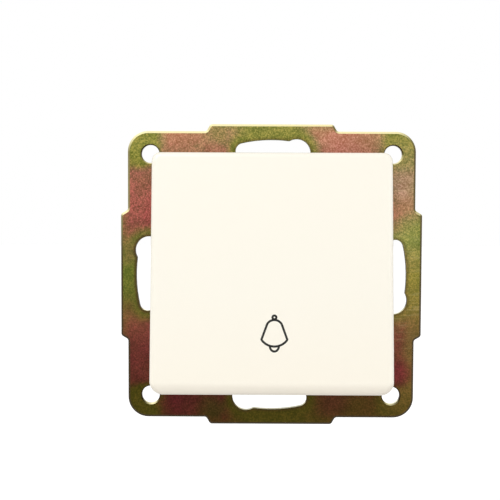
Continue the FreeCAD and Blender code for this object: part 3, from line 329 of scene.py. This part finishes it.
# Painted highlight and shade on the sheared and rolled edges, from 0 where they face down, dark as painted
# shade, to 1 where they face up and a little to the left towards the light, pale as a painted highlight.
EDGE_LIGHT_AND_SHADE = ((0.0, srgb(58, 46, 24)), (0.42, srgb(72, 60, 30)), (0.60, srgb(120, 112, 62)),
        (0.82, srgb(250, 240, 184)), (1.0, srgb(255, 250, 212)))
# How far the painted light's direction leans up and to the left, and how strong the painted edge light is.
EDGE_LIGHT_UP = 0.94
EDGE_LIGHT_LEFT = 0.34
EDGE_LIGHT_STRENGTH = 0.9

# An edge is where the surface turns away from the front. The painted edge light ends this far behind the
# frame's back face in millimetres, so the bent tongues are free of it.
EDGE_TURN = (0.75, 0.97)
EDGE_DEPTH = (0.3, 0.8)

# Edges get a painted shade below this height in millimetres, unless they face up more than this.
EDGE_SHADE = srgb(58, 46, 24)
EDGE_SHADE_BELOW = (2.0, 16.0)
EDGE_SHADE_FACING = (0.3, 0.7)


def painted_edge_light(finish, y, z):
    """Painted highlight and shade on the frame's edges, by how they face the light, and a mask that is 1 on
    them.
    """
    across, outwards, up = finish.parts(finish.facing)
    # Up and a little to the left is towards the light that the edges' painted highlight stands for.
    upwards = (up * EDGE_LIGHT_UP - across * EDGE_LIGHT_LEFT) * 0.5 + 0.5
    # Lower edges that don't face up take a painted shade.
    edge_shade = (1 - z.step(*EDGE_SHADE_BELOW)) * (1 - up.step(*EDGE_SHADE_FACING))
    edge = finish.mix(edge_shade, finish.ramp(upwards, EDGE_LIGHT_AND_SHADE), EDGE_SHADE)
    return edge, (1 - abs(outwards).step(*EDGE_TURN)) * (1 - y.step(*EDGE_DEPTH))


# The film's fine grain: its colours, patches of two sizes in millimetres and the share of each, how strongly
# it lies over the film, which is more in the upper half, and its depth.
GRAIN = ((0.36, srgb(60, 74, 56)), (0.50, srgb(121, 121, 121)), (0.64, srgb(184, 166, 176)))
GRAIN_SIZE = 0.36
GRAIN_SHARE = 0.8
MOTTLE_SIZE = 2.4
MOTTLE_SHARE = 0.2
GRAIN_STRENGTH = 0.66
GRAIN_EXTRA = 0.14
GRAIN_UPPER_HALF = (0.3, 0.8)
GRAIN_DEPTH = 0.02 * MM

# The film's roughness, and how much the grain adds.
FILM_ROUGHNESS = 0.36
GRAIN_ROUGHNESS = 0.16

# Faint level streaks on the ochre side, from a height upwards: their colour, their width in millimetres and
# how many times longer they are, the noise over which they fade in, and their strength.
STREAK = srgb(206, 190, 138)
STREAK_SIZE = 0.6
STREAK_LENGTH = 9
STREAK_FADE = (0.5, 0.8)
STREAK_ABOVE = (-26.0, -6.0)
STREAK_STRENGTH = 0.2

# A painted shade as a dark line along the slots' edges: its fade in millimetres out from the edge,
# and its strength, which is less to the right.
SLOT_EDGE_SHADE = srgb(66, 46, 30)
SLOT_SHADE_FADE = (0.25, 0.85)
SLOT_SHADE_STRENGTH = 0.70
SLOT_SHADE_WEAKER = 0.30
SLOT_SHADE_RIGHTWARDS = (-24.0, -12.0)


def frame_finish():
    """Yellow chromate on stamped steel, with a fine grain, faint streaks, a painted reflection and painted
    edge highlights and shade.
    """
    finish = Finish("yellow_chromate", Metallic=1.0)
    x, y, z = finish.parts(finish.point)
    slot_gap = from_slot_edge(finish, abs(x).lowest(abs(z)))
    film, height, right = film_with_painted_reflection(finish, x, z, slot_gap)
    grain = finish.noise(GRAIN_SIZE, roughness=0.8, seed=3.0)
    mottle = finish.noise(MOTTLE_SIZE, seed=9.0)
    speckle = finish.ramp(grain * GRAIN_SHARE + mottle * MOTTLE_SHARE, GRAIN)
    strength = GRAIN_STRENGTH + height.step(*GRAIN_UPPER_HALF) * GRAIN_EXTRA
    grained = finish.mix(strength, film, speckle, "OVERLAY")
    drawn = finish.noise(STREAK_SIZE, stretch=(STREAK_LENGTH, 1, 1), seed=5.0).step(*STREAK_FADE)
    streaks = drawn * right * z.step(*STREAK_ABOVE) * STREAK_STRENGTH
    # A dark line of painted shade along the slots' edges, stronger on the left.
    slot_shade = (1 - slot_gap.step(*SLOT_SHADE_FADE)) * (SLOT_SHADE_STRENGTH - x.step(*SLOT_SHADE_RIGHTWARDS) * SLOT_SHADE_WEAKER)
    face = finish.mix(slot_shade, finish.mix(streaks, grained, STREAK), SLOT_EDGE_SHADE)
    # Painted highlight and shade on the edges.
    edge, at_edge = painted_edge_light(finish, y, z)
    finish.shade(Base_Color=finish.mix(at_edge * EDGE_LIGHT_STRENGTH, face, edge),
                 Roughness=FILM_ROUGHNESS + grain * GRAIN_ROUGHNESS)
    finish.bump(grain, GRAIN_DEPTH, strength=0.35)
    return finish


# Moulded plastic: how large its drift of shade and the grain of its skin are in millimetres, the skin's
# depth, and how much it changes the roughness.
PLASTIC_DRIFT = 18.0
PLASTIC_SKIN = 0.35
PLASTIC_SKIN_DEPTH = 0.004 * MM
PLASTIC_SKIN_ROUGHNESS = 0.06


def moulded_finish(name, colour, shade, roughness):
    """Moulded plastic: one colour that drifts slightly, and a fine even skin."""
    finish = Finish(name)
    drift = finish.noise(PLASTIC_DRIFT).step(*DRIFT)
    skin = finish.noise(PLASTIC_SKIN, roughness=0.6, seed=2.0)
    finish.shade(Base_Color=finish.mix(drift, colour, shade),
                 Roughness=roughness + (skin - 0.5) * PLASTIC_SKIN_ROUGHNESS)
    finish.bump(skin, PLASTIC_SKIN_DEPTH, strength=0.3)
    return finish


# Ivory by height, from 0 to 1, which stand for this far below and above the key's middle in millimetres:
# lighter and cooler at the top, darker and warmer towards the bottom as a painted shade. The height waves by
# a share of its whole.
IVORY_REACH = 28.0
IVORY_AND_SHADE = ((0.0, srgb(254, 247, 231)), (0.45, srgb(254, 249, 235)), (1.0, srgb(255, 250, 236)))
IVORY_WAVE_SIZE = 22.0
IVORY_WAVE_REACH = 0.2

# Painted shade on the key's lower lip: the band below a height in millimetres, and what faces downwards.
LIP_SHADE = srgb(236, 227, 211)
LIP_SHADE_BELOW = (-24.2, -23.0)
LIP_SHADE_STRENGTH = 0.26
LIP_SHADE_FACING = (-0.6, 0.05)
UNDERSIDE_SHADE = 0.45

# The key's polish: its roughness, the grain of its skin in millimetres, the skin's depth, and how much it
# adds to the roughness.
KEY_ROUGHNESS = 0.22
KEY_SKIN = 0.3
KEY_SKIN_DEPTH = 0.002 * MM
KEY_SKIN_ROUGHNESS = 0.05


def key_finish():
    """Glossy ivory: a little lighter and cooler at the top, darker and warmer towards the pressed half, and
    darker at its lip, all painted shade.
    """
    finish = Finish("ivory_key", Coat_Weight=0.35, Coat_Roughness=0.08)
    z = finish.parts(finish.point)[2]
    up = finish.parts(finish.facing)[2]
    wave = (finish.noise(IVORY_WAVE_SIZE) - 0.5) * IVORY_WAVE_REACH
    # The ivory by height carries a painted shade, darker towards the bottom.
    height = (z + IVORY_REACH) / (2 * IVORY_REACH) + wave
    # Painted shade on the lower lip and on what faces down.
    lip = (1 - z.step(*LIP_SHADE_BELOW)) * LIP_SHADE_STRENGTH + (1 - up.step(*LIP_SHADE_FACING)) * UNDERSIDE_SHADE
    skin = finish.noise(KEY_SKIN, roughness=0.6, seed=2.0)
    finish.shade(Base_Color=finish.mix(lip, finish.ramp(height, IVORY_AND_SHADE), LIP_SHADE),
                 Roughness=KEY_ROUGHNESS + skin * KEY_SKIN_ROUGHNESS)
    finish.bump(skin, KEY_SKIN_DEPTH, strength=0.3)
    return finish


# Bare metal: how large its patches of shade are in millimetres, the values between which its shade
# changes, the depth of its fine lines, and how much they change the roughness.
METAL_PATCH = 4.0
METAL_DRIFT = (0.35, 0.65)
METAL_LINE_DEPTH = 0.01 * MM
METAL_LINE_ROUGHNESS = 0.12


def metal_finish(name, colour, shade, roughness, size=0.5, stretch=(1, 1, 8)):
    """Bare or plated metal with the fine lines that drawing or turning leaves."""
    finish = Finish(name, Metallic=1.0)
    lines = finish.noise(size, detail=3.0, roughness=0.6, stretch=stretch)
    patches = finish.noise(METAL_PATCH, seed=4.0)
    drift = ((lines + patches) / 2).step(*METAL_DRIFT)
    finish.shade(Base_Color=finish.mix(drift, colour, shade),
                 Roughness=roughness + (lines - 0.5) * METAL_LINE_ROUGHNESS)
    finish.bump(lines, METAL_LINE_DEPTH, strength=0.25)
    return finish


# Printing ink: its two shades and the size of their patches in millimetres.
INK = srgb(10, 11, 6)
PALE_INK = srgb(18, 19, 12)
INK_PATCH = 0.6


def ink_finish():
    """Matt dark printing ink."""
    finish = Finish("printing_ink", Roughness=0.7)
    drift = finish.noise(INK_PATCH).step(*DRIFT)
    finish.shade(Base_Color=finish.mix(drift, INK, PALE_INK))
    return finish


def dress_nodes():
    """Gives each CAD node its one material."""
    housing = moulded_finish("housing_resin", srgb(206, 210, 214), srgb(198, 202, 208), roughness=0.50)
    cover = moulded_finish("cover_resin", srgb(222, 222, 220), srgb(214, 214, 214), roughness=0.48)
    rocker = moulded_finish("rocker_resin", srgb(238, 236, 230), srgb(230, 229, 224), roughness=0.45)
    carrier = moulded_finish("carrier_resin", srgb(226, 140, 60), srgb(216, 130, 54), roughness=0.45)
    brass = metal_finish("contact_brass", srgb(214, 160, 104), srgb(196, 142, 88), roughness=0.30)
    silver = metal_finish("contact_silver", srgb(226, 226, 222), srgb(208, 208, 206), roughness=0.28,
                          size=0.3)
    spring = metal_finish("spring_wire", srgb(176, 178, 182), srgb(150, 152, 156), roughness=0.28,
                          size=0.3, stretch=(1, 1, 1))
    zinc = metal_finish("zinc_plate", srgb(196, 198, 204), srgb(176, 180, 188), roughness=0.36)
    screw = metal_finish("screw_zinc", srgb(200, 196, 180), srgb(180, 176, 162), roughness=0.32,
                         size=0.3, stretch=(4, 1, 4))
    single = {"support_frame": frame_finish(), "key": key_finish(), "housing": housing,
              "housing_cover": cover, "rocker": rocker, "contact_carrier": carrier,
              "contact_bridge": brass, "contact_spring": spring, "return_spring": spring}
    paired = {"bridge_tip": silver, "fixed_tip": silver, "fixed_contact": brass, "terminal_cage": zinc,
              "clamp_plate": zinc, "terminal_screw": screw, "cover_screw": screw}
    sides = {f"{node}_{side}": finish for node, finish in paired.items() for side in ("left", "right")}
    for node, finish in (single | sides).items():
        materials = frame["nodes"][node].data.materials
        materials.clear()
        materials.append(finish.material)


def carried_section(name, points, finish, closed):
    """Makes a mesh from an array of rows x corners x 3 points: a closed section carried along a path.

    Each face joins two neighbouring corners of a row to the same two of the next row. A closed path
    joins its last row to its first, and an open one gets a flat end at both.
    """
    rows, corners, _ = points.shape
    row = np.arange(rows if closed else rows - 1)[:, None]
    corner = np.arange(corners)[None, :]
    next_row = (row + 1) % rows
    next_corner = (corner + 1) % corners
    sides = [row * corners + corner, row * corners + next_corner,
             next_row * corners + next_corner, next_row * corners + corner]
    faces = np.stack(sides, axis=-1).reshape(-1, 4).tolist()
    if not closed:
        faces.append(list(range(corners))[::-1])
        faces.append(list(range((rows - 1) * corners, rows * corners)))
    mesh = bpy.data.meshes.new(name)
    mesh.from_pydata(points.reshape(-1, 3).tolist(), [], faces)
    mesh.materials.append(finish.material)
    piece = bpy.data.objects.new(name, mesh)
    bpy.context.collection.objects.link(piece)
    return piece


# The key at rest: its lower edge leans out by the tilt, about the hinge. The face has its own directions,
# and its reach is how far it stands out from the hinge.
REST_TILT = math.radians(6.3)
HINGE = next(joint["pos_m"] for joint in frame["joints"] if joint["name"] == "key_press")
FACE_NORMAL = np.array([0, -math.cos(REST_TILT), math.sin(REST_TILT)])
FACE_UP = np.array([0, math.sin(REST_TILT), math.cos(REST_TILT)])
FACE_ACROSS = np.array([1, 0, 0])
KEY_POINTS = np.array([vertex.co for vertex in frame["nodes"]["key"].data.vertices])
KEY_REACH = ((KEY_POINTS - HINGE) @ FACE_NORMAL).max()

# A printed line's width, and how far it stands out of the face and reaches into it.
LINE_WIDTH = 0.50 * MM
LINE_HEIGHT = 0.015 * MM
LINE_SINK = 0.02 * MM


def on_key_face(across, up, out):
    """Places on the key's tilted face, in metres.

    Each is the hinge, plus across and up along the face, plus the face's reach and out along its normal.
    """
    return (np.asarray(HINGE) + across[:, None] * FACE_ACROSS + up[:, None] * FACE_UP
            + (KEY_REACH + out) * FACE_NORMAL)


def printed_line(name, path, finish, closed=True):
    """A line of ink: a flat oblong section carried along a path on the key's face.

    The path's run at a point is the difference of the two next to it. The line's two sides lie half its
    width to the left and right of the path, square to the run, and each is sunk in the face and raised.
    """
    if closed:
        run = np.roll(path, -1, axis=0) - np.roll(path, 1, axis=0)
    else:
        run = np.gradient(path, axis=0)
    run /= np.linalg.norm(run, axis=1)[:, None]
    aside = np.stack([-run[:, 1], run[:, 0]], axis=1) * LINE_WIDTH / 2
    left, right = path + aside, path - aside
    section = [(left, -LINE_SINK), (left, LINE_HEIGHT), (right, LINE_HEIGHT), (right, -LINE_SINK)]
    points = np.stack([on_key_face(*side.T, out) for side, out in section], axis=1)
    line = carried_section(name, points, finish, closed)
    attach(line, "button")


# The bell symbol: places, half widths, rises and drops on the key's face, measured from its middle, and how
# many points each line has.
BELL_MIDDLE = 0.57 * MM
BELL_TOP = -10.62 * MM
BELL_RIM = -15.03 * MM
BELL_HALF = 2.91 * MM
BELL_LOWEST = -16.55 * MM
DOME_HALF = 1.78 * MM
DOME_RISE = 1.58 * MM
DOME_TURN = math.radians(72.5)
RING_RADIUS = 0.43 * MM
RING_RISE = 0.57 * MM
CLAPPER_HALF = 1.02 * MM
CLAPPER_START = -16.40 * MM
CLAPPER_DROP = 1.26 * MM
DOME_POINTS = 33
RIM_POINTS = 41
RING_POINTS = 24
CLAPPER_POINTS = 25


def arc(start, end, count, middle, radius, endpoint=True):
    """Points of an arc: its middle plus its radius times the cosine and the sine of the turn.

    An ellipse has two radii, one for each.
    """
    turn = np.linspace(start, end, count, endpoint=endpoint)
    return np.array(middle) + np.array(radius) * np.stack([np.cos(turn), np.sin(turn)], axis=1)


def bell_symbol():
    """The bell's outline: an elliptical dome, straight flared sides and a bowed rim, a ring and a clapper.

    The rim is an arc whose radius is the sum of the squares of half its width and its drop, over twice
    the drop. The straight sides join the dome's ends to the rim's.
    """
    ink = ink_finish()
    quarter = math.pi / 2
    dome = arc(quarter + DOME_TURN, quarter - DOME_TURN, DOME_POINTS, (BELL_MIDDLE, BELL_TOP - DOME_RISE),
               (DOME_HALF, DOME_RISE))
    drop = BELL_RIM - BELL_LOWEST
    rim_radius = (BELL_HALF ** 2 + drop ** 2) / (2 * drop)
    reach = math.asin(BELL_HALF / rim_radius)
    rim = arc(reach - quarter, -reach - quarter, RIM_POINTS, (BELL_MIDDLE, BELL_LOWEST + rim_radius),
              rim_radius)
    printed_line("bell_outline", np.concatenate([dome, rim]), ink)
    ring = arc(0, 2 * math.pi, RING_POINTS, (BELL_MIDDLE, BELL_TOP + RING_RISE), RING_RADIUS,
               endpoint=False)
    printed_line("bell_ring", ring, ink)
    clapper = arc(math.pi, 2 * math.pi, CLAPPER_POINTS, (BELL_MIDDLE, CLAPPER_START),
                  (CLAPPER_HALF, CLAPPER_DROP))
    printed_line("bell_clapper", clapper, ink, closed=False)


# The floor: its half width and level in metres, and how it glows to the camera near the object and far
# off, which with the light on it comes to white. The glow changes between two distances in millimetres.
FLOOR_HALF = 3.0
FLOOR_LEVEL = -0.125
FLOOR_DARK = (0.0, 0.0, 0.0, 1.0)
FLOOR_NEAR = (0.31, 0.31, 0.31, 1.0)
FLOOR_FAR = (0.62, 0.62, 0.62, 1.0)
FLOOR_CHANGE = (80.0, 500.0)

# The paper's two shades and the size of their patches in millimetres.
PAPER = srgb(240, 240, 240)
PALE_PAPER = srgb(243, 243, 243)
PAPER_PATCH = 60.0


def floor_finish():
    """Pale paper: it shows white to the camera and in gloss, and keeps the object's shadow."""
    finish = Finish("pale_floor", Roughness=0.9, Emission_Strength=1.0)
    drift = finish.noise(PAPER_PATCH).step(*DRIFT)
    away = finish.distance((0, 0, FLOOR_LEVEL / MM))
    glow = finish.mix(away.step(*FLOOR_CHANGE), FLOOR_NEAR, FLOOR_FAR)
    finish.shade(Base_Color=finish.mix(drift, PAPER, PALE_PAPER),
                 Emission_Color=finish.mix(finish.backdrop_rays(), FLOOR_DARK, glow))
    return finish


def lay_floor():
    """A wide level square under the object."""
    corners = [(-FLOOR_HALF, -FLOOR_HALF, FLOOR_LEVEL), (FLOOR_HALF, -FLOOR_HALF, FLOOR_LEVEL),
               (FLOOR_HALF, FLOOR_HALF, FLOOR_LEVEL), (-FLOOR_HALF, FLOOR_HALF, FLOOR_LEVEL)]
    mesh = bpy.data.meshes.new("floor")
    mesh.from_pydata(corners, [], [(0, 1, 2, 3)])
    mesh.materials.append(floor_finish().material)
    floor = bpy.data.objects.new("floor", mesh)
    bpy.context.collection.objects.link(floor)


# The sky's strength as the camera and gloss see it and as a light, and its colour.
SKY_SEEN = 1.0
SKY_LIGHT = 0.46
SKY_COLOUR = (1.0, 1.0, 1.0, 1.0)


def light_world():
    """Soft light from all round; the camera and gloss see it as plain white."""
    world = bpy.data.worlds.new("studio")
    bpy.context.scene.world = world
    world.use_nodes = True
    nodes = Nodes(world.node_tree)
    sky = world.node_tree.nodes["Background"]
    nodes.feed(sky.inputs["Color"], SKY_COLOUR)
    nodes.feed(sky.inputs["Strength"], nodes.backdrop_rays() * (SKY_SEEN - SKY_LIGHT) + SKY_LIGHT)


# Each lamp's place in metres and its power in watts, and the side of its square.
LAMPS = {"upper_left_lamp": ((-0.45, -0.75, 0.75), 6.8), "right_fill_lamp": ((0.7, -0.7, 0.15), 1.05),
         "right_edge_lamp": ((1.0, -0.1, 0.05), 1.5)}
LAMP_SIZE = 0.7


def hang_lamps():
    """Square soft lamps that point at the object's middle."""
    for name, (place, power) in LAMPS.items():
        lamp = bpy.data.lights.new(name, "AREA")
        lamp.size = LAMP_SIZE
        lamp.energy = power
        holder = bpy.data.objects.new(name, lamp)
        bpy.context.collection.objects.link(holder)
        holder.location = place
        holder.rotation_euler = (-Vector(place)).to_track_quat("-Z", "Y").to_euler()


# The camera, fitted to the picture's holes, tabs and key: its place, its turns down and to the left from
# level and straight ahead, its roll, its lens in millimetres and the nearest it sees.
CAMERA_PLACE = (-3.8 * MM, -222.3 * MM, 16.6 * MM)
CAMERA_DOWN = math.radians(2.75)
CAMERA_LEFT = math.radians(0.32)
CAMERA_ROLL = math.radians(0.21)
CAMERA_LENS = 67.6
CAMERA_NEAREST = 5 * MM


def place_camera():
    """Stands the camera where the picture was taken from."""
    camera = bpy.data.objects.new("camera", bpy.data.cameras.new("camera"))
    bpy.context.collection.objects.link(camera)
    camera.data.lens = CAMERA_LENS
    camera.data.clip_start = CAMERA_NEAREST
    camera.location = CAMERA_PLACE
    camera.rotation_euler = (math.pi / 2 - CAMERA_DOWN, 0, CAMERA_LEFT)
    camera.rotation_euler.rotate_axis("Z", CAMERA_ROLL)
    bpy.context.scene.camera = camera


dress_nodes()
bell_symbol()
lay_floor()
light_world()
hang_lamps()
place_camera()
bpy.context.scene.view_settings.view_transform = "Standard"
